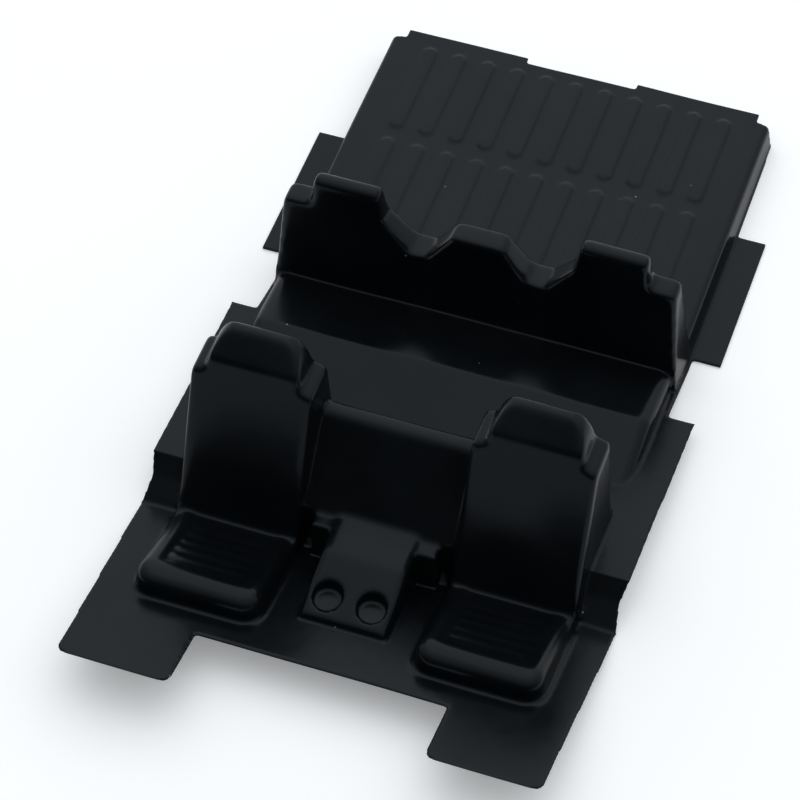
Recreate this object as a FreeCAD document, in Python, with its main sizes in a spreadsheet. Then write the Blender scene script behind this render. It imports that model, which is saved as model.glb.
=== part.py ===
import FreeCAD, Part
import math
import os
import Sketcher

# One vacuum-formed interior tray. X is across, Y runs front (-) to rear (+), Z is up.
# The sheet is made as an upper form less a lower form set in by the wall, trimmed to an outline.

SIZES = {
    "wall": 1.0,
    "deep": 30.0,
    # floors, along Y and up
    "front_end": 146.5,
    "fold_y": 74.0,
    "fold_top": 1.1,
    "front_rise": 17.0,
    "ramp_run": 7.0,
    "ramp_top": 7.5,
    "riser_run": 12.0,
    "step_top": 13.0,
    "mid_end_y": 12.0,
    "mid_end_top": 6.0,
    "wing_start_y": 34.0,
    "wing_top": 1.0,
    "rear_end": 146.5,
    # outline half widths
    "front_half": 77.0,
    "fold_half": 79.0,
    "mid_half": 80.0,
    "base_half": 71.0,
    "wing_half": 80.5,
    "wing_front_y": 40.0,
    "wing_rear_y": 97.0,
    "deck_rear_y": 142.5,
    "deck_rear_half": 70.4,
    "rear_tab_half": 64.0,
    "rear_notch_half": 20.0,
    "rear_notch_y": 144.0,
    "front_notch_half": 40.5,
    "front_notch_y": 124.0,
    "tab_round": 3.0,
    # load deck
    "deck_top": 10.0,
    "deck_half": 68.6,
    "deck_base_half": 70.0,
    "deck_front_y": 30.0,
    "deck_round": 2.5,
    # beads on the deck
    "bead_count": 11.0,
    "bead_pitch": 10.7,
    "bead_wide": 5.6,
    "bead_high": 0.8,
    "bead_rear_y": 99.0,
    "bead_rear_long": 41.0,
    "bead_front_y": 50.0,
    "bead_front_long": 44.0,
    # front seats
    "seat_x": 45.5,
    "cushion_half": 20.5,
    "cushion_front_y": 113.5,
    "cushion_lip_top": 18.5,
    "cushion_lip_y": 106.5,
    "cushion_heel_top": 5.5,
    "crease_y": 75.5,
    "cushion_round": 4.5,
    "dish_half": 14.5,
    "dish_front_y": 105.0,
    "dish_deep": 1.4,
    "back_top_y": 49.0,
    "seat_back_top": 68.5,
    "back_thick": 3.5,
    "cap_y": 57.0,
    "cap_top": 60.5,
    "cushion_corner": 6.0,
    "shelf_half": 20.5,
    "shelf_y": 76.0,
    "shelf_top": 16.5,
    "back_foot_y": 37.0,
    "back_half": 20.5,
    "shoulder_half": 20.0,
    "shoulder_top": 56.0,
    "head_half": 15.4,
    "back_round": 2.2,
    "top_round": 2.6,
    # centre seat back and console
    "jump_half": 27.0,
    "jump_top": 42.5,
    "jump_top_y": 51.0,
    "jump_thick": 5.0,
    "jump_foot_y": 70.5,
    "jump_round": 2.2,
    "ridge_top": 17.0,
    "console_top": 17.6,
    "console_brow_y": 84.0,
    "console_lip_y": 105.0,
    "console_lip_top": 10.5,
    "console_half": 14.0,
    "console_round": 2.0,
    "cup_x": 7.2,
    "cup_y": 97.5,
    "cup_radius": 4.8,
    "cup_floor": 10.0,
    # rear bench
    "bench_half": 68.0,
    "bench_front_y": 27.0,
    "bench_front_top": 9.0,
    "bench_lip_y": -1.0,
    "bench_lip_top": 15.5,
    "bench_crease_y": 23.0,
    "bench_crease_top": 12.5,
    "bench_round": 4.5,
    # rear bench back
    "rear_back_y": 26.0,
    "rear_back_top": 57.0,
    "rear_back_thick": 6.0,
    "rear_foot_y": 40.0,
    "rear_base_half": 70.0,
    "rear_shoulder_half": 66.5,
    "rear_shoulder_top": 46.0,
    "rear_head_outer": 56.0,
    "rear_head_inner": 34.5,
    "valley_x": 19.0,
    "valley_top": 34.0,
    "hump_half": 8.5,
    "hump_top": 47.0,
    "rear_round": 2.6,
}


def make_sheet(doc):
    """The driving dimensions, one alias a cell."""
    sheet = doc.addObject("Spreadsheet::Sheet", "Sizes")
    row = 1
    for name, value in SIZES.items():
        sheet.set("A%d" % row, name)
        sheet.set("B%d" % row, str(value))
        sheet.setAlias("B%d" % row, name)
        row += 1
    doc.recompute()
    return sheet


def expr(text):
    """A word expression with each size read from the sheet."""
    out = []
    for word in text.replace("(", " ( ").replace(")", " ) ").split():
        out.append("Sizes." + word if word in SIZES else word)
    return " ".join(out)


def value(doc, text):
    """The number a word expression gives now."""
    names = {k: float(doc.Sizes.get(k)) for k in SIZES}
    total = doc.Sizes.evalExpression(" ".join(
        repr(names[w]) if w in names else w
        for w in text.replace("(", " ( ").replace(")", " ) ").split()))
    return float(total)


SIDE = FreeCAD.Rotation(FreeCAD.Vector(1, 1, 1), 120)
FRONT = FreeCAD.Rotation(FreeCAD.Vector(1, 0, 0), 90)
PLAN = FreeCAD.Rotation()


def sketch(doc, name, turn, corners):
    """A closed profile whose corners are held by named sizes."""
    sk = doc.addObject("Sketcher::SketchObject", name)
    sk.Placement = FreeCAD.Placement(FreeCAD.Vector(0, 0, 0), turn)
    pts = [FreeCAD.Vector(value(doc, h), value(doc, v), 0) for h, v in corners]
    count = len(pts)
    for i in range(count):
        sk.addGeometry(Part.LineSegment(pts[i], pts[(i + 1) % count]), False)
    for i in range(count):
        sk.addConstraint(Sketcher.Constraint("Coincident", i, 2, (i + 1) % count, 1))
    for i, (h, v) in enumerate(corners):
        for axis, letter, text, number in (("DistanceX", "h", h, pts[i].x),
                                           ("DistanceY", "v", v, pts[i].y)):
            k = sk.addConstraint(Sketcher.Constraint(axis, -1, 1, i, 1, number))
            sk.renameConstraint(k, "%s%d" % (letter, i))
            sk.setExpression("Constraints.%s%d" % (letter, i), expr(text))
    doc.recompute()
    return sk


def inset(doc, source, text):
    """The same profile moved in (or out) by a size."""
    face = doc.addObject("Part::Face", source.Name + "_face")
    face.Sources = [source]
    face.FaceMakerClass = "Part::FaceMakerSimple"
    ring = doc.addObject("Part::Offset2D", source.Name + "_in")
    ring.Source = face
    ring.Mode = "Skin"
    ring.Join = "Intersection"
    ring.setExpression("Value", expr(text))
    doc.recompute()
    return ring


def prism(doc, name, source, axis, start, length):
    """A profile pushed along an axis, from start, by length."""
    body = doc.addObject("Part::Extrusion", name)
    body.Base = source
    body.DirMode = "Custom"
    body.Dir = axis
    body.Solid = True
    body.setExpression("LengthFwd", expr("(" + start + ") + (" + length + ")"))
    body.setExpression("LengthRev", expr("-1 * (" + start + ")"))
    doc.recompute()
    return body


def rounded(doc, name, base, radius, keep):
    """The edges that keep() picks, rounded by one size."""
    fillet = doc.addObject("Part::Fillet", name)
    fillet.Base = base
    size = value(doc, radius)
    edges = base.Shape.Edges
    fillet.Edges = [(i + 1, size, size) for i, e in enumerate(edges) if keep(e)]
    doc.recompute()
    return fillet


def above(height):
    """Edges whose every end is above a height."""
    return lambda e: all(v.Z > height for v in e.Vertexes)


def lines(doc, axis, low, high=1000.0):
    """Straight edges along one axis, above a height."""
    def keep(edge):
        if edge.Curve.TypeId != "Part::GeomLine":
            return False
        zs = [v.Z for v in edge.Vertexes]
        return abs(getattr(edge.Curve.Direction, axis)) > 0.99 and min(zs) > low and max(zs) < high
    return keep


def joined(doc, name, kind, parts):
    """A boolean of several objects."""
    both = doc.addObject("Part::" + kind, name)
    both.Shapes = parts
    doc.recompute()
    return both


def mirrored(doc, name, source):
    """The same thing on the other side of the middle plane."""
    copy = doc.addObject("Part::Mirroring", name)
    copy.Source = source
    copy.Normal = FreeCAD.Vector(1, 0, 0)
    copy.Base = FreeCAD.Vector(0, 0, 0)
    doc.recompute()
    return copy


ACROSS = FreeCAD.Vector(1, 0, 0)
ALONG = FreeCAD.Vector(0, 1, 0)
UP = FreeCAD.Vector(0, 0, 1)


class Layer:
    """Builds every form once, either full size or set in by the wall."""

    def __init__(self, doc, tag, inner):
        self.doc = doc
        self.tag = tag
        self.inner = inner

    def name(self, word):
        return word + self.tag

    def profile(self, word, turn, corners):
        sk = sketch(self.doc, self.name(word), turn, corners)
        return inset(self.doc, sk, "-1 * wall") if self.inner else sk

    def pocket_profile(self, word, turn, corners):
        sk = sketch(self.doc, self.name(word), turn, corners)
        return inset(self.doc, sk, "wall") if self.inner else sk

    def span(self, half):
        """Start and length of a push across a half width, in step with the wall."""
        if self.inner:
            return "wall - " + half, "2 * (" + half + " - wall)"
        return "-1 * " + half, "2 * " + half

    def radius(self, size):
        return size + " - wall" if self.inner else size

    def floor(self):
        y = "front_end + 6"
        corners = [
            ("-1 * (" + y + ")", "fold_top + front_rise * (front_end + 6 - fold_y) / (front_end - fold_y)"),
            ("-1 * fold_y", "fold_top"),
            ("ramp_run - fold_y", "ramp_top"),
            ("riser_run - fold_y", "step_top"),
            ("mid_end_y", "mid_end_top"),
            ("wing_start_y", "wing_top"),
            ("rear_end + 6", "wing_top"),
            ("rear_end + 6", "-1 * deep"),
            ("-1 * (" + y + ")", "-1 * deep"),
        ]
        prof = self.profile("floor_line", SIDE, corners)
        half = "(wing_half + 10)"
        return prism(self.doc, self.name("floor"), prof, ACROSS, "-1 * " + half, "2 * " + half)

    def deck(self):
        corners = [
            ("-1 * (deck_base_half + 5)", "-1 * deep"),
            ("-1 * deck_base_half", "wing_top"),
            ("-1 * deck_half", "deck_top"),
            ("deck_half", "deck_top"),
            ("deck_base_half", "wing_top"),
            ("deck_base_half + 5", "-1 * deep"),
        ]
        prof = self.profile("deck_line", FRONT, corners)
        body = prism(self.doc, self.name("deck_raw"), prof, ALONG, "deck_front_y",
                     "rear_end + 8 - deck_front_y")
        low = value(self.doc, "deck_top - 2")
        keep = lambda e: above(low)(e) and abs(e.Vertexes[0].Y - e.Vertexes[-1].Y) > 20
        return rounded(self.doc, self.name("deck"), body, self.radius("deck_round"), keep)

    def cushion(self):
        corners = [
            ("-1 * cushion_front_y - 3", "-1 * deep"),
            ("-1 * cushion_front_y", "cushion_lip_top - 0.6"),
            ("-1 * cushion_lip_y", "cushion_lip_top"),
            ("-1 * crease_y", "cushion_heel_top"),
            ("12 - crease_y", "cushion_heel_top"),
            ("12 - crease_y", "-1 * deep"),
        ]
        prof = self.profile("cushion_line", SIDE, corners)
        start, length = self.span("cushion_half")
        body = prism(self.doc, self.name("cushion_raw"), prof, ACROSS,
                     "seat_x + " + start, length)
        front = value(self.doc, "-1 * cushion_front_y + 3")
        corner = rounded(self.doc, self.name("cushion_corner"), body, self.radius("cushion_corner"),
                         lambda e: e.Length > 25 and max(v.Y for v in e.Vertexes) < front
                         and abs(e.Vertexes[0].Z - e.Vertexes[-1].Z) > 20)
        return rounded(self.doc, self.name("cushion"), corner,
                       self.radius("cushion_round"), self.cushion_edges)

    def cushion_edges(self, edge):
        """The lip edge across the front and the two long top edges."""
        ys = [v.Y for v in edge.Vertexes]
        zs = [v.Z for v in edge.Vertexes]
        if min(zs) < value(self.doc, "cushion_heel_top - wall - 1"):
            return False
        if min(ys) > value(self.doc, "-1 * crease_y - 1"):
            return False
        if abs(ys[0] - ys[1]) > 20:
            return True
        return max(ys) < value(self.doc, "1 - cushion_lip_y") or abs(ys[0] - ys[1]) > 20

    def seat_back(self):
        side = [
            ("-1 * crease_y - 1", "-1 * deep"),
            ("-1 * crease_y", "cushion_heel_top"),
            ("-1 * cap_y", "cap_top"),
            ("-1 * back_top_y", "seat_back_top"),
            ("back_thick - back_top_y", "seat_back_top"),
            ("-1 * back_foot_y", "step_top"),
            ("2 - back_foot_y", "-1 * deep"),
        ]
        front = [
            ("seat_x - back_half - 1", "-1 * deep"),
            ("seat_x - back_half", "step_top"),
            ("seat_x - shoulder_half", "shoulder_top"),
            ("seat_x - head_half", "shoulder_top"),
            ("seat_x - head_half + 1", "seat_back_top + 4"),
            ("seat_x + head_half - 1", "seat_back_top + 4"),
            ("seat_x + head_half", "shoulder_top"),
            ("seat_x + shoulder_half", "shoulder_top"),
            ("seat_x + back_half", "step_top"),
            ("seat_x + back_half + 1", "-1 * deep"),
        ]
        a = prism(self.doc, self.name("seat_side"), self.profile("seat_side_line", SIDE, side),
                  ACROSS, "10", "seat_x + 40")
        b = prism(self.doc, self.name("seat_front"), self.profile("seat_front_line", FRONT, front),
                  ALONG, "-120", "110")
        return self.crossed("seat_back", a, b, "step_top + 2", "back_round")

    def crossed(self, word, side, front, low_text, size):
        """Two profiles' prisms, each with its own edges rounded, crossed into one form."""
        low = value(self.doc, low_text)
        a = rounded(self.doc, self.name(word + "_side_soft"), side,
                    self.radius("top_round"), lines(self.doc, "x", low))
        b = rounded(self.doc, self.name(word + "_front_soft"), front,
                    self.radius(size), lines(self.doc, "y", low))
        return joined(self.doc, self.name(word), "MultiCommon", [a, b])

    def jump_back(self):
        side = [
            ("-1 * jump_foot_y - 1", "-1 * deep"),
            ("-1 * jump_foot_y", "ridge_top"),
            ("-1 * jump_top_y", "jump_top"),
            ("jump_thick - jump_top_y", "jump_top"),
            ("-1 * back_foot_y - 1", "step_top"),
            ("1 - back_foot_y", "-1 * deep"),
        ]
        start, length = self.span("jump_half")
        body = prism(self.doc, self.name("jump_raw"), self.profile("jump_line", SIDE, side),
                     ACROSS, start, length)
        top = value(self.doc, "jump_top - 3")
        keep = lambda e: above(top)(e) and abs(e.Vertexes[0].X - e.Vertexes[-1].X) > 10
        return rounded(self.doc, self.name("jump"), body, self.radius("jump_round"), keep)

    def shelf(self):
        """The low step along the foot of the centre seat back."""
        side = [
            ("-1 * shelf_y - 1", "-1 * deep"),
            ("-1 * shelf_y", "shelf_top"),
            ("4 - jump_foot_y", "shelf_top"),
            ("4 - jump_foot_y", "-1 * deep"),
        ]
        start, length = self.span("shelf_half")
        return prism(self.doc, self.name("shelf"), self.profile("shelf_line", SIDE, side),
                     ACROSS, start, length)

    def console(self):
        side = [
            ("-1 * console_lip_y - 2", "-1 * deep"),
            ("-1 * console_lip_y", "console_lip_top"),
            ("-1 * console_brow_y", "console_top"),
            ("12 - jump_foot_y", "console_top"),
            ("12 - jump_foot_y", "-1 * deep"),
        ]
        start, length = self.span("console_half")
        body = prism(self.doc, self.name("console_raw"), self.profile("console_line", SIDE, side),
                     ACROSS, start, length)
        low = value(self.doc, "console_lip_top - 2")
        inside = value(self.doc, "11 - jump_foot_y")
        keep = lambda e: above(low)(e) and min(v.Y for v in e.Vertexes) < inside
        return rounded(self.doc, self.name("console"), body, self.radius("console_round"), keep)

    def bench(self):
        side = [
            ("-1 * bench_front_y - 3", "-1 * deep"),
            ("-1 * bench_front_y", "bench_front_top"),
            ("bench_lip_y - 8", "bench_lip_top - 2"),
            ("bench_lip_y", "bench_lip_top"),
            ("bench_crease_y", "bench_crease_top"),
            ("bench_crease_y + 9", "bench_crease_top"),
            ("bench_crease_y + 9", "-1 * deep"),
        ]
        start, length = self.span("bench_half")
        body = prism(self.doc, self.name("bench_raw"), self.profile("bench_line", SIDE, side),
                     ACROSS, start, length)
        back = value(self.doc, "bench_lip_y + 1")
        low = value(self.doc, "bench_front_top - 2 * wall")
        keep = lambda e: above(low)(e) and abs(e.Vertexes[0].X - e.Vertexes[-1].X) < 1
        return rounded(self.doc, self.name("bench"), body, self.radius("bench_round"), keep)

    def rear_back(self):
        side = [
            ("bench_crease_y - 1", "-1 * deep"),
            ("bench_crease_y", "bench_crease_top"),
            ("rear_back_y", "rear_back_top"),
            ("rear_back_y + rear_back_thick", "rear_back_top"),
            ("rear_foot_y", "deck_top"),
            ("rear_foot_y + 3", "-1 * deep"),
        ]
        half = [
            ("rear_base_half + 4", "-1 * deep"),
            ("rear_base_half", "wing_top"),
            ("rear_shoulder_half", "rear_shoulder_top"),
            ("rear_head_outer + 1", "rear_shoulder_top"),
            ("rear_head_outer", "rear_back_top + 4"),
            ("rear_head_inner", "rear_back_top + 4"),
            ("rear_head_inner - 2", "rear_shoulder_top"),
            ("valley_x + 4", "valley_top"),
            ("valley_x - 2", "valley_top"),
            ("hump_half", "hump_top"),
        ]
        front = half + [("-1 * (" + h + ")", v) for h, v in reversed(half)]
        a = prism(self.doc, self.name("rear_side"), self.profile("rear_side_line", SIDE, side),
                  ACROSS, "-1 * rear_base_half - 8", "2 * rear_base_half + 16")
        b = prism(self.doc, self.name("rear_front"), self.profile("rear_front_line", FRONT, front),
                  ALONG, "0", "70")
        return self.crossed("rear_back", a, b, "deck_top + 8", "rear_round")

    def dish(self):
        corners = [
            ("-1 * dish_front_y", "cushion_lip_top + 12"),
            ("-1 * dish_front_y", "cushion_lip_top - dish_deep"),
            ("-1 * crease_y", "cushion_heel_top - dish_deep * 0.5"),
            ("-1 * crease_y", "cushion_lip_top + 12"),
        ]
        half = "(dish_half + wall)" if self.inner else "dish_half"
        prof = self.pocket_profile("dish_line", SIDE, corners)
        return prism(self.doc, self.name("dish"), prof, ACROSS,
                     "seat_x - " + half, "2 * " + half)

    def cup(self):
        """One cup holder sunk in the console."""
        cup = self.doc.addObject("Part::Cylinder", self.name("cup"))
        extra = " + wall" if self.inner else ""
        drop = " - wall" if self.inner else ""
        cup.setExpression("Radius", expr("cup_radius" + extra))
        cup.setExpression("Height", expr("console_top"))
        cup.setExpression("Placement.Base.x", expr("cup_x"))
        cup.setExpression("Placement.Base.y", expr("-1 * cup_y"))
        cup.setExpression("Placement.Base.z", expr("cup_floor" + drop))
        self.doc.recompute()
        return cup

    def build(self):
        seat = joined(self.doc, self.name("seat"), "MultiFuse", [self.cushion(), self.seat_back()])
        dished = self.doc.addObject("Part::Cut", self.name("seat_dished"))
        dished.Base = seat
        dished.Tool = self.dish()
        self.doc.recompute()
        cup = self.cup()
        cups = joined(self.doc, self.name("cups"), "MultiFuse",
                      [cup, mirrored(self.doc, self.name("cup_left"), cup)])
        console = self.doc.addObject("Part::Cut", self.name("console_cups"))
        console.Base = self.console()
        console.Tool = cups
        self.doc.recompute()
        parts = [self.floor(), self.deck(), self.shelf(), self.bench(), self.rear_back(), self.jump_back(),
                 console, dished, mirrored(self.doc, self.name("seat_left"), dished)]
        return joined(self.doc, self.name("form"), "MultiFuse", parts)


def bead(doc, name, y, length):
    """One raised bead with eased ends, first of its row."""
    middle = "-1 * bead_pitch * ( bead_count - 1 ) / 2"
    right = [
        (middle + " + bead_wide * 0.2", y),
        (middle + " + bead_wide / 2", y + " + bead_wide * 0.3"),
        (middle + " + bead_wide / 2", y + " + " + length + " - bead_wide * 0.3"),
        (middle + " + bead_wide * 0.2", y + " + " + length),
    ]
    left = [(h.replace(" + bead_wide", " - bead_wide"), v) for h, v in reversed(right)]
    plan = sketch(doc, name + "_line", PLAN, right + left)
    bar = prism(doc, name + "_raw", plan, UP, "deck_top - 0.4", "bead_high + 0.4")
    top = value(doc, "deck_top + bead_high - 0.1")
    size = value(doc, "bead_high * 0.9")
    soft = doc.addObject("Part::Chamfer", name)
    soft.Base = bar
    soft.Edges = [(i + 1, size, size) for i, e in enumerate(bar.Shape.Edges) if above(top)(e)]
    doc.recompute()
    return soft


def bead_rows(doc):
    """Two rows of beads, each a plain copy of its first."""
    rows = doc.addObject("Part::Feature", "beads")
    count = int(round(float(doc.Sizes.get("bead_count"))))
    pitch = float(doc.Sizes.get("bead_pitch"))
    shapes = []
    for first in (bead(doc, "bead_rear", "bead_rear_y", "bead_rear_long"),
                  bead(doc, "bead_front", "bead_front_y", "bead_front_long")):
        for i in range(count):
            shapes.append(first.Shape.translated(FreeCAD.Vector(i * pitch, 0, 0)))
    rows.Shape = Part.makeCompound(shapes)
    return rows


def outline(doc):
    """The trimmed edge of the sheet, seen from above."""
    half = [
        ("front_notch_half", "-1 * front_notch_y"),
        ("front_notch_half", "-1 * front_end"),
        ("front_half", "-1 * front_end"),
        ("fold_half", "-1 * fold_y"),
        ("fold_half - 1.4", "ramp_run - fold_y"),
        ("fold_half", "riser_run - fold_y"),
        ("mid_half", "mid_end_y - 2"),
        ("base_half", "mid_end_y - 2"),
        ("base_half", "wing_front_y"),
        ("wing_half", "wing_front_y"),
        ("wing_half", "wing_rear_y"),
        ("base_half", "wing_rear_y"),
        ("deck_rear_half", "deck_rear_y"),
        ("rear_tab_half", "deck_rear_y"),
        ("rear_tab_half", "rear_end"),
        ("rear_notch_half", "rear_end"),
        ("rear_notch_half", "rear_notch_y"),
    ]
    corners = half + [("-1 * (" + h + ")", v) for h, v in reversed(half)]
    sk = sketch(doc, "outline_line", PLAN, corners)
    body = prism(doc, "outline_raw", sk, UP, "wall - deep + 3", "150")
    size = "tab_round"
    near = value(doc, "-1 * front_end + 1")
    keep = lambda e: (abs(e.Vertexes[0].Z - e.Vertexes[-1].Z) > 50
                      and e.Vertexes[0].Y < near)
    return rounded(doc, "outline", body, size, keep)


def main():
    doc = FreeCAD.newDocument("interior_tray")
    make_sheet(doc)
    upper = Layer(doc, "_up", False).build()
    lower = Layer(doc, "_low", True).build()
    sheet = doc.addObject("Part::Cut", "sheet")
    sheet.Base = upper
    sheet.Tool = lower
    doc.recompute()
    trimmed = joined(doc, "trimmed", "MultiCommon", [sheet, outline(doc)])
    tray = joined(doc, "interior_tray", "MultiFuse", [trimmed, bead_rows(doc)])
    tray.Label = "interior_tray"
    doc.recompute()
    for item in doc.Objects:
        for state in item.State:
            if state in ("Invalid", "Error"):
                raise RuntimeError(item.Name + " is " + state)
        if hasattr(item, "Shape") and (item.Shape.isNull() or not item.Shape.isValid()):
            raise RuntimeError(item.Name + " has no valid shape")
    os.makedirs("parts", exist_ok=True)
    tray.Shape.exportStep("parts/interior_tray.step")
    box = tray.Shape.BoundBox
    print("solids", len(tray.Shape.Solids), "volume", round(tray.Shape.Volume, 1), box)


main()
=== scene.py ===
"""Looks for the vacuum-formed cabin interior tray: its skin, plastic, light and camera."""

import logging
import math
from dataclasses import dataclass
from enum import Enum

import bmesh
import bpy
import numpy as np
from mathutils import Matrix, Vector

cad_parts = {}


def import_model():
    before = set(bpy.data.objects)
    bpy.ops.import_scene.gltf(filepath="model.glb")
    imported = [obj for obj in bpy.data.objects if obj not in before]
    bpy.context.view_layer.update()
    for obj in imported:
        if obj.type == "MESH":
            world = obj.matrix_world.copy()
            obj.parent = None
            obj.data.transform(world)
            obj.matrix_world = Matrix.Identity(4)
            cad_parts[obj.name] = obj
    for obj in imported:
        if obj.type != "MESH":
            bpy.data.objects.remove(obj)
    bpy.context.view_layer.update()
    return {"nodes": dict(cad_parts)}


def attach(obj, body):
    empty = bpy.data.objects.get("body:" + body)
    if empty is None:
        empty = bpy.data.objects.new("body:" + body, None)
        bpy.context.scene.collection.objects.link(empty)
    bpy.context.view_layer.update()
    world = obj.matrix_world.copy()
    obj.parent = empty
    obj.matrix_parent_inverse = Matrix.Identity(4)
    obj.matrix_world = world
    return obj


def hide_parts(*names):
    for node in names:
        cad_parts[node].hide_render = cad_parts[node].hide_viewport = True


LOG = logging.getLogger("tray")
MM = 0.001


class Skin(Enum):
    """How fine the formed skin is made."""

    FINE = 0.0005
    ROUGH = 0.0009


@dataclass(frozen=True)
class PlasticFinish:
    """Satin black formed sheet: linear colours, roughness, and the size of its surface detail. The
    cool tint on its reflections is painted light, standing in for a bluish light.
    """

    dark: tuple[float, float, float, float] = (0.0022, 0.0032, 0.0042, 1.0)
    pale: tuple[float, float, float, float] = (0.0042, 0.0056, 0.0070, 1.0)
    dust: tuple[float, float, float, float] = (0.20, 0.21, 0.22, 1.0)
    speck_size: float = 0.022
    smooth: float = 0.19
    rough: float = 0.27
    specular: float = 0.175
    # painted light: this cool tint on the reflections stands in for a bluish light, the plastic
    # itself reflects light untinted
    painted_cool_light_tint: tuple[float, float, float, float] = (0.78, 0.90, 1.0, 1.0)
    grain_scale: float = 1500.0
    peel_scale: float = 160.0
    grain_strength: float = 0.07
    peel_strength: float = 0.08


@dataclass(frozen=True)
class CameraPose:
    """Where the camera stands, in the row frame, in metres and degrees."""

    azimuth: float = 19.04
    elevation: float = 50.96
    target: tuple[float, float, float] = (-0.0109, -0.0186, 0.015)
    distance: float = 1.0858
    lens: float = 152.15


@dataclass(frozen=True)
class Studio:
    """Plain soft light over a pale floor.

    low and high are the sky's strength at its darkest and brightest, lean is how far the
    bright side tips to the rear, and fill is what the floor adds for the camera alone.
    """

    low: float = 0.05
    high: float = 1.20
    lean: float = 0.70
    fill: float = 0.24
    panel_power: float = 3.4
    panel_size: float = 2.0
    panel_place: tuple[float, float, float] = (-0.30, 0.80, 1.60)
    floor_colour: tuple[float, float, float, float] = (0.94, 0.955, 0.97, 1.0)
    floor_half: float = 3.0
    lift_colour: tuple[float, float, float, float] = (0.96, 0.985, 1.0, 1.0)
    sky_colour: tuple[float, float, float, float] = (0.97, 0.985, 1.0, 1.0)


@dataclass
class FormedSkin:
    """The visible sheet, softened as heat-formed plastic is, with the cushions' pleats."""

    node: str = "interior_tray"
    seat_x: float = 45.5 * MM
    pleat_half: float = 13.0 * MM
    pleat_front: float = -102.0 * MM
    pleat_rear: float = -80.0 * MM
    pleat_count: int = 5
    pleat_high: float = 0.32 * MM
    wave_high: float = 0.22 * MM
    wave_fade: float = 3.0 * MM
    slant_share: float = 0.6
    head_rear: float = -30.0 * MM
    head_low: float = 57.0 * MM
    head_high: float = 68.5 * MM
    head_narrow: float = 0.45
    rib_keep: float = 0.8
    deck_top: float = 10.0 * MM
    deck_front: float = 46.0 * MM
    valley_x: float = 18.5 * MM
    valley_wide: float = 5.0 * MM
    valley_deep: float = 2.6 * MM
    groove_front: float = 19.0 * MM
    groove_rear: float = 31.0 * MM
    groove_low: float = 13.5 * MM
    groove_rise: float = 6.0 * MM
    groove_top: float = 38.0 * MM
    groove_fade: float = 14.0 * MM
    tall_low: float = 13.0 * MM
    tall_fade: float = 6.0 * MM
    tall_front: float = -122.0 * MM
    tall_front_fade: float = 4.0 * MM
    tall_rear: float = 60.0 * MM
    tall_rear_fade: float = 6.0 * MM
    tall_half: float = 73.5 * MM
    tall_side_fade: float = 2.0 * MM
    cushion_half: float = 24.0 * MM
    cushion_fade: float = 3.0 * MM
    cushion_front: float = -120.0 * MM
    cushion_rear: float = -70.0 * MM
    cushion_low: float = 2.0 * MM
    cushion_weight: float = 0.9
    weld_gap: float = 0.001 * MM
    smooth_step: float = 0.5
    smooth_all: int = 8
    smooth_tall: int = 70
    faces: int = 190000

    def build(self, source: bpy.types.Object, skin: Skin,
              material: bpy.types.Material) -> bpy.types.Object:
        """Makes the skin from the frame's own sheet.

        Args:
            source: the CAD node that the skin stands for.
            skin: how fine the skin is.
            material: what it is made of.

        Returns:
            A plain mesh object, closed, with its place in its mesh.
        """
        mesh = source.data.copy()
        mesh.materials.clear()
        piece = bpy.data.objects.new("tray_skin", mesh)
        bpy.context.scene.collection.objects.link(piece)
        self._weld(mesh)
        self._apply(piece, self._voxels(piece, skin))
        LOG.info("skin has %d faces", len(piece.data.polygons))
        self._displace(piece.data)
        self._apply(piece, self._soften(piece))
        self._part_backs(piece.data)
        self._apply(piece, self._pleats(piece, material))
        self._apply(piece, self._lighten(piece))
        for face in piece.data.polygons:
            face.use_smooth = True
        LOG.info("skin ends with %d faces", len(piece.data.polygons))
        return piece

    def _weld(self, mesh: bpy.types.Mesh) -> None:
        """Joins the corners that the frame's file keeps apart.

        Args:
            mesh: the copy of the node's mesh, changed in place.
        """
        work = bmesh.new()
        work.from_mesh(mesh)
        bmesh.ops.remove_doubles(work, verts=work.verts, dist=self.weld_gap)
        work.to_mesh(mesh)
        work.free()

    def _voxels(self, piece: bpy.types.Object, skin: Skin) -> list[bpy.types.Modifier]:
        """Lays an even skin over the sheet.

        Args:
            piece: the skin so far.
            skin: how fine it is made.

        Returns:
            The modifiers added.
        """
        even = piece.modifiers.new("even", "REMESH")
        even.mode = "VOXEL"
        even.voxel_size = skin.value
        return [even]

    def _soften(self, piece: bpy.types.Object) -> list[bpy.types.Modifier]:
        """Rounds all edges a little, and the tall forms more.

        Args:
            piece: the skin so far.

        Returns:
            The modifiers added.
        """
        group = piece.vertex_groups.new(name="tall")
        places = self._places(piece.data)
        weight = self._tall(places)
        for level in np.unique(np.round(weight, 1)):
            if level > 0:
                ids = np.nonzero(np.round(weight, 1) == level)[0].tolist()
                group.add(ids, float(level), "REPLACE")
        all_over = piece.modifiers.new("all_over", "SMOOTH")
        all_over.factor, all_over.iterations = self.smooth_step, self.smooth_all
        tall = piece.modifiers.new("tall", "SMOOTH")
        tall.factor, tall.iterations = self.smooth_step, self.smooth_tall
        tall.vertex_group = "tall"
        return [all_over, tall]

    def _pleats(self, piece: bpy.types.Object,
                material: bpy.types.Material) -> list[bpy.types.Modifier]:
        """Raises rows of soft pleats across both cushions, by Geometry Nodes.

        Args:
            piece: the skin so far.
            material: what the skin is made of, set by the same node tree.

        Returns:
            The modifiers added.
        """
        made = piece.modifiers.new("pleats", "NODES")
        made.node_group, sockets = pleat_group()
        settings = {"Seat": self.seat_x, "Half": self.pleat_half, "Front": self.pleat_front,
                    "Long": self.pleat_rear - self.pleat_front, "Count": float(self.pleat_count),
                    "High": self.pleat_high, "Material": material}
        for name, setting in settings.items():
            made[sockets[name]] = setting
        return [made]

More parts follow.
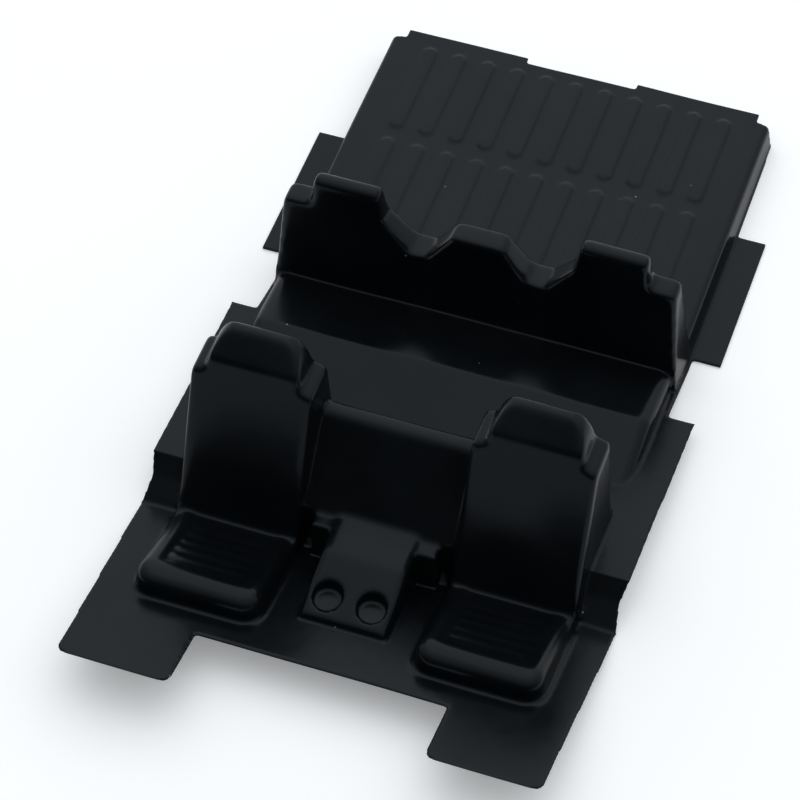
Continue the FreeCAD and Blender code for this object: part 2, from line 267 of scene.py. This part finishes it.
    def _lighten(self, piece: bpy.types.Object) -> list[bpy.types.Modifier]:
        """Drops faces where the skin is flat.

        Args:
            piece: the skin so far.

        Returns:
            The modifiers added.
        """
        fewer = piece.modifiers.new("fewer", "DECIMATE")
        sides = sum(len(p.vertices) - 2 for p in piece.data.polygons)
        fewer.ratio = min(1.0, self.faces / sides)
        return [fewer]

    def _apply(self, piece: bpy.types.Object, made: list[bpy.types.Modifier]) -> None:
        """Turns the modifiers into plain mesh.

        Args:
            piece: the skin so far.
            made: the modifiers to apply and then remove.
        """
        bpy.context.view_layer.update()
        graph = bpy.context.evaluated_depsgraph_get()
        mesh = bpy.data.meshes.new_from_object(piece.evaluated_get(graph))
        for one in made:
            piece.modifiers.remove(one)
        piece.data = mesh

    def _places(self, mesh: bpy.types.Mesh) -> np.ndarray:
        """Reads every vertex's place.

        Args:
            mesh: the mesh to read.

        Returns:
            A row of x, y and z for each vertex.
        """
        flat = np.zeros(len(mesh.vertices) * 3, np.float32)
        mesh.vertices.foreach_get("co", flat)
        return flat.reshape(-1, 3).astype(float)

    def _put(self, mesh: bpy.types.Mesh, places: np.ndarray) -> None:
        """Moves every vertex to its row in places.

        Args:
            mesh: the mesh to change.
            places: a row of x, y and z for each vertex.
        """
        mesh.vertices.foreach_set("co", places.astype(np.float32).ravel())
        mesh.update()

    def _tall(self, places: np.ndarray) -> np.ndarray:
        """Tells how much each vertex belongs to the seats and backs.

        Args:
            places: a row of x, y and z for each vertex.

        Returns:
            A weight from 0 to 1 for each vertex.
        """
        x, y, z = places.T
        rise = np.clip((z - self.tall_low) / self.tall_fade, 0, 1)
        off_seat = np.abs(np.abs(x) - self.seat_x)
        near_seat = np.clip((self.cushion_half - off_seat) / self.cushion_fade, 0, 1)
        near_seat *= (y < self.cushion_rear) * (y > self.cushion_front) * (z > self.cushion_low)
        rise = np.maximum(rise, self.cushion_weight * near_seat)
        ends = np.clip((y - self.tall_front) / self.tall_front_fade, 0, 1)
        ends *= np.clip((self.tall_rear - y) / self.tall_rear_fade, 0, 1)
        flange = np.clip((self.tall_half - np.abs(x)) / self.tall_side_fade, 0, 1)
        return rise * ends * flange

    def _displace(self, mesh: bpy.types.Mesh) -> None:
        """Gives the sheet its slight waves, lower ribs and rounder headrests.

        Args:
            mesh: the skin's mesh, changed in place.
        """
        places = self._places(mesh)
        x, y, z = places.T
        broad = np.sin(x * 61 + 1.3) * np.sin(y * 47 + 0.4)
        slant = np.sin(x * 113 + y * 71 + 2.0)
        wave = (broad + self.slant_share * slant) / (1 + self.slant_share)
        down = np.clip(z / self.wave_fade, 0, 1)
        places[:, 2] += wave * self.wave_high * down
        ribs = (y > self.deck_front) & (z > self.deck_top)
        places[ribs, 2] = self.deck_top + (z[ribs] - self.deck_top) * self.rib_keep
        self._round_heads(places)
        self._put(mesh, places)

    def _part_backs(self, mesh: bpy.types.Mesh) -> None:
        """Presses an upright groove into the bench back below each valley.

        Args:
            mesh: the skin's mesh, changed in place.
        """
        places = self._places(mesh)
        x, y, z = places.copy().T
        back = (y > self.groove_front) & (y < self.groove_rear) & (z > self.groove_low)
        groove = np.exp(-((np.abs(x) - self.valley_x) / self.valley_wide) ** 2)
        foot = np.clip((z - self.groove_low) / self.groove_rise, 0, 1)
        foot *= np.clip((self.groove_top - z) / self.groove_fade, 0, 1)
        places[:, 1] += np.where(back, groove * foot * self.valley_deep, 0)
        self._put(mesh, places)

    def _round_heads(self, places: np.ndarray) -> None:
        """Draws the headrests in towards their tops.

        Args:
            places: a row of x, y and z for each vertex, changed in place.
        """
        x, y, z = places.copy().T
        front = (y < self.head_rear) & (z > self.head_low)
        rise = np.clip((z - self.head_low) / (self.head_high - self.head_low), 0, 1)
        keep = 1 - self.head_narrow * (1 - np.sqrt(1 - rise ** 2))
        middle = np.sign(x) * self.seat_x
        places[:, 0] = np.where(front, middle + (x - middle) * keep, places[:, 0])


def node(tree: bpy.types.NodeTree, kind: str, **values: float) -> bpy.types.Node:
    """A shader node with some of its single-value inputs set by name.

    Args:
        tree: the node tree that it goes in.
        kind: its Blender type name.
        values: input name, with spaces as underscores, to value.

    Returns:
        The new node.
    """
    made = tree.nodes.new(kind)
    for name, value in values.items():
        made.inputs[name.replace("_", " ")].default_value = value
    return made


class Graph:
    """Short names for the maths of a geometry node tree."""

    def __init__(self, tree: bpy.types.NodeTree) -> None:
        """Keeps the tree that the nodes go in."""
        self.tree = tree

    def maths(self, kind: str, *parts: bpy.types.NodeSocket | float,
              clamp: bool = False) -> bpy.types.NodeSocket:
        """Adds one maths node.

        Args:
            kind: the operation's Blender name.
            parts: the operands in order, each a socket or a number.
            clamp: whether the result is kept from 0 to 1.

        Returns:
            The socket that carries the result.
        """
        made = self.tree.nodes.new("ShaderNodeMath")
        made.operation = kind
        made.use_clamp = clamp
        for slot, part in zip(made.inputs, parts):
            if isinstance(part, (int, float)):
                slot.default_value = part
            else:
                self.tree.links.new(part, slot)
        return made.outputs[0]


def pleat_group() -> tuple[bpy.types.NodeTree, dict[str, str]]:
    """The node group that raises evenly spaced pleats on both cushions.

    Returns:
        The group, and each named input's identifier.
    """
    tree = bpy.data.node_groups.new("pleats", "GeometryNodeTree")
    face = tree.interface
    face.new_socket("Geometry", in_out="INPUT", socket_type="NodeSocketGeometry")
    named = {name: face.new_socket(name, in_out="INPUT", socket_type="NodeSocketFloat").identifier
             for name in ("Seat", "Half", "Front", "Long", "Count", "High")}
    named["Material"] = face.new_socket("Material", in_out="INPUT",
                                        socket_type="NodeSocketMaterial").identifier
    face.new_socket("Geometry", in_out="OUTPUT", socket_type="NodeSocketGeometry")
    start = tree.nodes.new("NodeGroupInput")
    end = tree.nodes.new("NodeGroupOutput")
    place = tree.nodes.new("GeometryNodeInputPosition")
    split = tree.nodes.new("ShaderNodeSeparateXYZ")
    tree.links.new(place.outputs[0], split.inputs[0])
    do = Graph(tree).maths
    side = do("ABSOLUTE", do("SUBTRACT", do("ABSOLUTE", split.outputs["X"]), start.outputs["Seat"]))
    window = do("MULTIPLY", do("SUBTRACT", start.outputs["Half"], side), 1 / (2.0 * MM), clamp=True)
    along = do("DIVIDE", do("SUBTRACT", split.outputs["Y"], start.outputs["Front"]),
               start.outputs["Long"], clamp=True)
    turn = do("MULTIPLY", do("MULTIPLY", along, start.outputs["Count"]), math.pi)
    ridge = do("POWER", do("ABSOLUTE", do("SINE", turn)), 2.0)
    rise = do("MULTIPLY", do("MULTIPLY", ridge, window), start.outputs["High"])
    up = tree.nodes.new("ShaderNodeCombineXYZ")
    tree.links.new(rise, up.inputs["Z"])
    move = tree.nodes.new("GeometryNodeSetPosition")
    whole = tree.nodes.new("GeometryNodeRealizeInstances")
    paint = tree.nodes.new("GeometryNodeSetMaterial")
    tree.links.new(start.outputs["Geometry"], move.inputs["Geometry"])
    tree.links.new(up.outputs[0], move.inputs["Offset"])
    tree.links.new(move.outputs["Geometry"], whole.inputs["Geometry"])
    tree.links.new(whole.outputs["Geometry"], paint.inputs["Geometry"])
    tree.links.new(start.outputs["Material"], paint.inputs["Material"])
    tree.links.new(paint.outputs["Geometry"], end.inputs["Geometry"])
    return tree, named


def black_plastic(finish: PlasticFinish) -> bpy.types.Material:
    """Satin black plastic with uneven gloss, fine grain, a slight peel and a few dust specks.

    Args:
        finish: the colours and sizes.

    Returns:
        The material.
    """
    material = bpy.data.materials.new("black_plastic")
    material.use_nodes = True
    tree = material.node_tree
    tree.nodes.clear()
    link = tree.links.new
    out = tree.nodes.new("ShaderNodeOutputMaterial")
    # painted light: the reflections are tinted cool to stand in for a bluish light
    skin = node(tree, "ShaderNodeBsdfPrincipled", Specular_IOR_Level=finish.specular,
                Specular_Tint=finish.painted_cool_light_tint)
    place = tree.nodes.new("ShaderNodeTexCoord")
    cloud = node(tree, "ShaderNodeTexNoise", Scale=38.0, Detail=5.0, Roughness=0.6)
    grain = node(tree, "ShaderNodeTexNoise", Scale=finish.grain_scale, Detail=3.0)
    peel = node(tree, "ShaderNodeTexNoise", Scale=finish.peel_scale, Detail=2.0)
    for texture in (cloud, grain, peel):
        link(place.outputs["Object"], texture.inputs["Vector"])
    tint = tree.nodes.new("ShaderNodeValToRGB")
    tint.color_ramp.elements[0].position = 0.35
    tint.color_ramp.elements[0].color = finish.dark
    tint.color_ramp.elements[1].position = 0.68
    tint.color_ramp.elements[1].color = finish.pale
    link(cloud.outputs["Fac"], tint.inputs["Fac"])
    specks = node(tree, "ShaderNodeTexVoronoi", Scale=75.0)
    link(place.outputs["Object"], specks.inputs["Vector"])
    near = tree.nodes.new("ShaderNodeMath")
    near.operation = "LESS_THAN"
    near.inputs[1].default_value = finish.speck_size
    link(specks.outputs["Distance"], near.inputs[0])
    mix = tree.nodes.new("ShaderNodeMix")
    mix.data_type = "RGBA"
    colour_in = [s for s in mix.inputs if s.type == "RGBA"]
    colour_out = [s for s in mix.outputs if s.type == "RGBA"][0]
    colour_in[1].default_value = finish.dust
    link(near.outputs[0], mix.inputs[0])
    link(tint.outputs["Color"], colour_in[0])
    link(colour_out, skin.inputs["Base Color"])
    gloss = node(tree, "ShaderNodeMapRange", From_Min=0.3, From_Max=0.7,
                 To_Min=finish.smooth, To_Max=finish.rough)
    link(cloud.outputs["Fac"], gloss.inputs["Value"])
    link(gloss.outputs["Result"], skin.inputs["Roughness"])
    wide = node(tree, "ShaderNodeBump", Strength=finish.peel_strength, Distance=0.0006)
    fine = node(tree, "ShaderNodeBump", Strength=finish.grain_strength, Distance=0.00008)
    link(peel.outputs["Fac"], wide.inputs["Height"])
    link(grain.outputs["Fac"], fine.inputs["Height"])
    link(wide.outputs["Normal"], fine.inputs["Normal"])
    link(fine.outputs["Normal"], skin.inputs["Normal"])
    link(skin.outputs["BSDF"], out.inputs["Surface"])
    return material


def make_floor(studio: Studio) -> bpy.types.Object:
    """A wide pale floor at the object's base.

    Args:
        studio: the floor's colour.

    Returns:
        The floor.
    """
    half = studio.floor_half
    mesh = bpy.data.meshes.new("floor")
    mesh.from_pydata([(-half, -half, 0), (half, -half, 0), (half, half, 0), (-half, half, 0)],
                     [], [(0, 1, 2, 3)])
    floor = bpy.data.objects.new("floor", mesh)
    bpy.context.scene.collection.objects.link(floor)
    material = bpy.data.materials.new("floor")
    material.use_nodes = True
    tree = material.node_tree
    tree.nodes.clear()
    out = tree.nodes.new("ShaderNodeOutputMaterial")
    matt = tree.nodes.new("ShaderNodeBsdfDiffuse")
    matt.inputs["Color"].default_value = studio.floor_colour
    lift = tree.nodes.new("ShaderNodeEmission")
    lift.inputs["Color"].default_value = studio.lift_colour
    rays = tree.nodes.new("ShaderNodeLightPath")
    seen = tree.nodes.new("ShaderNodeMath")
    seen.operation = "MULTIPLY"
    seen.inputs[1].default_value = studio.fill
    both = tree.nodes.new("ShaderNodeAddShader")
    tree.links.new(rays.outputs["Is Camera Ray"], seen.inputs[0])
    tree.links.new(seen.outputs[0], lift.inputs["Strength"])
    tree.links.new(matt.outputs["BSDF"], both.inputs[0])
    tree.links.new(lift.outputs["Emission"], both.inputs[1])
    tree.links.new(both.outputs["Shader"], out.inputs["Surface"])
    mesh.materials.append(material)
    return floor


def make_light(studio: Studio) -> None:
    """A sky that brightens upwards and to the rear, and one wide panel above and behind.

    Args:
        studio: how bright they are.
    """
    world = bpy.data.worlds.new("studio")
    bpy.context.scene.world = world
    world.use_nodes = True
    tree = world.node_tree
    tree.nodes.clear()
    out = tree.nodes.new("ShaderNodeOutputWorld")
    glow = tree.nodes.new("ShaderNodeBackground")
    place = tree.nodes.new("ShaderNodeTexCoord")
    split = tree.nodes.new("ShaderNodeSeparateXYZ")
    ramp = node(tree, "ShaderNodeMapRange", From_Min=-0.2, From_Max=1.2,
                To_Min=studio.low, To_Max=studio.high)
    lean = tree.nodes.new("ShaderNodeMath")
    lean.operation = "MULTIPLY_ADD"
    lean.inputs[1].default_value = studio.lean
    tree.links.new(place.outputs["Generated"], split.inputs["Vector"])
    tree.links.new(split.outputs["Y"], lean.inputs[0])
    tree.links.new(split.outputs["Z"], lean.inputs[2])
    tree.links.new(lean.outputs[0], ramp.inputs["Value"])
    glow.inputs["Color"].default_value = studio.sky_colour
    tree.links.new(ramp.outputs["Result"], glow.inputs["Strength"])
    tree.links.new(glow.outputs["Background"], out.inputs["Surface"])
    data = bpy.data.lights.new("panel", "AREA")
    data.shape = "SQUARE"
    data.size = studio.panel_size
    data.energy = studio.panel_power
    panel = bpy.data.objects.new("panel", data)
    bpy.context.scene.collection.objects.link(panel)
    panel.location = studio.panel_place
    panel.rotation_mode = "QUATERNION"
    panel.rotation_quaternion = (-Vector(panel.location)).to_track_quat("-Z", "Y")


def make_camera(pose: CameraPose) -> None:
    """The scene's camera, looking down over the front seats.

    Args:
        pose: where it stands and what it looks at.
    """
    data = bpy.data.cameras.new("camera")
    data.lens = pose.lens
    data.sensor_width = 36.0
    camera = bpy.data.objects.new("camera", data)
    bpy.context.scene.collection.objects.link(camera)
    turn, lift = math.radians(pose.azimuth), math.radians(pose.elevation)
    level = math.cos(lift)
    back = Vector((math.sin(turn) * level, -math.cos(turn) * level, math.sin(lift)))
    camera.location = Vector(pose.target) + back * pose.distance
    camera.rotation_mode = "QUATERNION"
    camera.rotation_quaternion = (-back).to_track_quat("-Z", "Y")
    data.clip_start, data.clip_end = 0.01, 20.0
    bpy.context.scene.camera = camera


def main() -> None:
    """Builds the scene."""
    logging.basicConfig(level=logging.INFO)
    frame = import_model()
    studio = Studio()
    form = FormedSkin()
    fineness = Skin.FINE
    piece = form.build(frame["nodes"][form.node], fineness, black_plastic(PlasticFinish()))
    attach(piece, "root")
    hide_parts(form.node)
    make_floor(studio)
    make_light(studio)
    make_camera(CameraPose())
    bpy.context.scene.view_settings.view_transform = "Standard"


if __name__ == "__main__":
    main()
